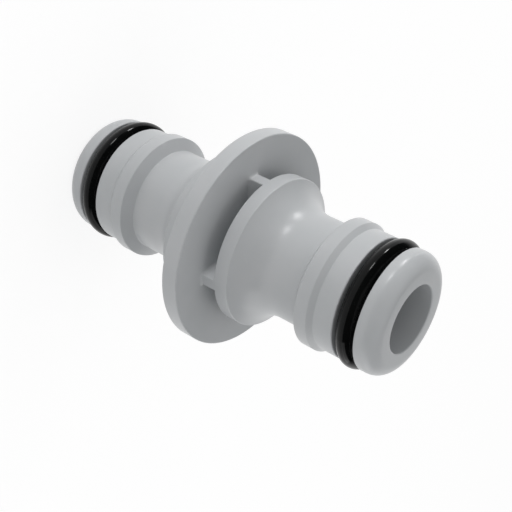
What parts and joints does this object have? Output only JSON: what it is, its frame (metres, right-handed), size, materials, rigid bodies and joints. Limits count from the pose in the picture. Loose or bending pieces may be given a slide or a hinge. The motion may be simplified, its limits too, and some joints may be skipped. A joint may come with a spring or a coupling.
{
  "type": "double male hose coupling",
  "caption": "Straight hose joining piece: a round bored body with a click-in plug at each end, a centre stop disc and a rubber sealing ring in the groove of each plug.",
  "frame": {"origin": "centre of the lower plug's flat end, on the axis, where the part stands", "axes": "+Z along the axis from the lower plug to the upper one; +X and +Y each point along a rib in the gaps beside the disc"},
  "size_m": [0.029, 0.029, 0.0504],
  "materials": {
    "grey_plastic": "satin moulded",
    "black_rubber": "smooth, slightly glossy"
  },
  "bodies": {
    "root": {"connector_body": "grey_plastic", "upper_o_ring": "black_rubber", "lower_o_ring": "black_rubber"}
  },
  "joints": []
}
